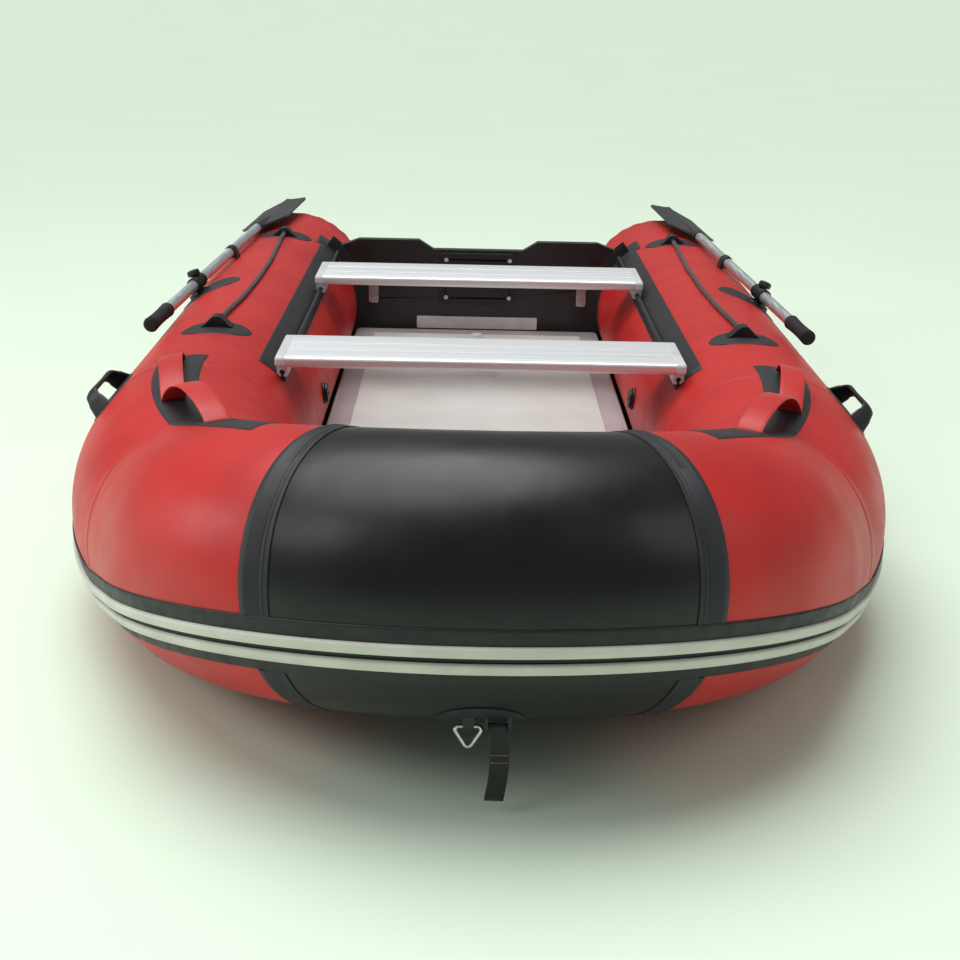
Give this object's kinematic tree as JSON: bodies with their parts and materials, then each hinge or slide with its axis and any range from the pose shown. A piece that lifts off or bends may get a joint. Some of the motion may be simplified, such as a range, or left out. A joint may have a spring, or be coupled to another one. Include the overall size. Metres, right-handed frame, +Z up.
{
  "type": "inflatable dinghy",
  "caption": "Inflatable sport dinghy with side and bow tubes, air deck, transom for an outboard, sliding aluminium seats, swinging oars, valves and grab lines.",
  "frame": {"origin": "on the ground under the middle of the length and breadth", "axes": "+Z up, -Y towards the bow, +X towards the port side"},
  "size_m": [1.5474, 3, 0.5303],
  "materials": {
    "red_pvc": "satin coated fabric",
    "black_pvc": "satin coated fabric",
    "black_rubber": "matte",
    "grey_rubber": "satin",
    "deck_pvc": "fine grained coated fabric",
    "edge_pvc": "satin coated tape",
    "black_plywood": "painted",
    "black_plastic": "moulded",
    "grey_plastic": "moulded",
    "seat_aluminium": "anodised",
    "oar_aluminium": "anodised",
    "stainless": "polished",
    "rope": "braided",
    "webbing": "woven"
  },
  "bodies": {
    "hull": {"air_deck": "deck_pvc", "bottom_fabric": "deck_pvc", "bow_tube": "black_pvc", "chamber_baffles": "black_pvc", "deck_edge_tape": "edge_pvc", "deck_plate": "grey_plastic", "deck_valve": "black_plastic", "drain_socket": "black_plastic", "floor_retainer": "grey_plastic", "grab_patches": "black_pvc", "grab_straps": "red_pvc", "inner_motor_pad": "black_plastic", "keel_guard": "black_rubber", "keel_tube": "deck_pvc", "lifeline_holders": "black_rubber", "motor_pad_screws": "stainless", "oar_clips": "black_rubber", "oarlock_bases": "black_rubber", "oarlock_knobs": "black_plastic", "outer_motor_pad": "black_plastic", "port_lifeline": "rope", "port_tube": "red_pvc", "rub_strake": "black_rubber", "seam_tapes": "black_rubber", "seat_rails": "black_rubber", "side_handles": "black_rubber", "starboard_lifeline": "rope", "starboard_tube": "red_pvc", "stern_cones": "black_pvc", "stern_end_caps": "black_rubber", "strake_ribs": "grey_rubber", "tow_anchor": "black_rubber", "tow_eye_bolts": "stainless", "tow_eye_plates": "stainless", "tow_patch": "black_pvc", "transom": "black_plywood", "transom_holders": "black_pvc", "tube_patches": "black_pvc", "valve_bodies": "black_plastic"},
    "port_oar": {"port_oar_shaft": "oar_aluminium", "port_oar_collar": "black_plastic", "port_oar_grip": "black_plastic", "port_oar_blade": "black_plastic"},
    "starboard_oar": {"starboard_oar_shaft": "oar_aluminium", "starboard_oar_collar": "black_plastic", "starboard_oar_grip": "black_plastic", "starboard_oar_blade": "black_plastic"},
    "front_seat": {"front_seat": "seat_aluminium", "front_seat_ends": "black_plastic"},
    "rear_seat": {"rear_seat": "seat_aluminium", "rear_seat_ends": "black_plastic"},
    "tow_ring": {"tow_ring": "stainless"},
    "bow_strap": {"bow_strap": "webbing"},
    "drain_plug": {"drain_plug": "black_plastic"},
    "port_valve_cap": {"port_valve_cap": "black_plastic"},
    "port_valve_stem": {"port_valve_stem": "black_plastic"},
    "starboard_valve_cap": {"starboard_valve_cap": "black_plastic"},
    "starboard_valve_stem": {"starboard_valve_stem": "black_plastic"},
    "bow_valve_cap": {"bow_valve_cap": "black_plastic"},
    "bow_valve_stem": {"bow_valve_stem": "black_plastic"}
  },
  "joints": [
    {"name": "port_oar_swing", "type": "hinge", "parent": "hull", "child": "port_oar", "pos_m": [0.689, 0.27, 0.409], "axis": [-0.342, 0, -0.9397], "range_deg": [0, 110]},
    {"name": "starboard_oar_swing", "type": "hinge", "parent": "hull", "child": "starboard_oar", "pos_m": [-0.689, 0.27, 0.409], "axis": [-0.342, 0, 0.9397], "range_deg": [0, 110]},
    {"name": "front_seat_slide", "type": "slide", "parent": "hull", "child": "front_seat", "axis": [0, 1, 0], "range_m": [0, 0.22]},
    {"name": "rear_seat_slide", "type": "slide", "parent": "hull", "child": "rear_seat", "axis": [0, 1, 0], "range_m": [-0.2, 0.22]},
    {"name": "port_valve_cap_turn", "type": "hinge", "parent": "hull", "child": "port_valve_cap", "pos_m": [0.3512, -0.06, 0.232], "axis": [-0.9945, 0, 0.1045], "continuous": true},
    {"name": "port_valve_stem_press", "type": "slide", "parent": "hull", "child": "port_valve_stem", "axis": [0.9945, 0, -0.1045], "range_m": [0, 0.005], "stiffness_N_per_m": 400, "springref_m": -0.002},
    {"name": "starboard_valve_cap_turn", "type": "hinge", "parent": "hull", "child": "starboard_valve_cap", "pos_m": [-0.3512, -0.06, 0.232], "axis": [0.9945, 0, 0.1045], "continuous": true},
    {"name": "starboard_valve_stem_press", "type": "slide", "parent": "hull", "child": "starboard_valve_stem", "axis": [-0.9945, 0, -0.1045], "range_m": [0, 0.005], "stiffness_N_per_m": 400, "springref_m": -0.002},
    {"name": "bow_valve_cap_turn", "type": "hinge", "parent": "hull", "child": "bow_valve_cap", "pos_m": [0, -1.0702, 0.3306], "axis": [0, 0.9988, 0.0487], "continuous": true},
    {"name": "bow_valve_stem_press", "type": "slide", "parent": "hull", "child": "bow_valve_stem", "axis": [0, -0.9988, -0.0487], "range_m": [0, 0.005], "stiffness_N_per_m": 400, "springref_m": -0.002},
    {"name": "drain_plug_turn", "type": "hinge", "parent": "hull", "child": "drain_plug", "pos_m": [0.23, 0.95, 0.046], "axis": [0, 1, 0], "continuous": true},
    {"name": "tow_ring_swing", "type": "hinge", "parent": "hull", "child": "tow_ring", "pos_m": [-0.018, -1.4141, 0.1446], "axis": [1, 0, 0], "range_deg": [-90, 30]},
    {"name": "bow_strap_swing", "type": "hinge", "parent": "hull", "child": "bow_strap", "pos_m": [0.024, -1.4141, 0.1446], "axis": [1, 0, 0], "range_deg": [-80, 25]}
  ]
}
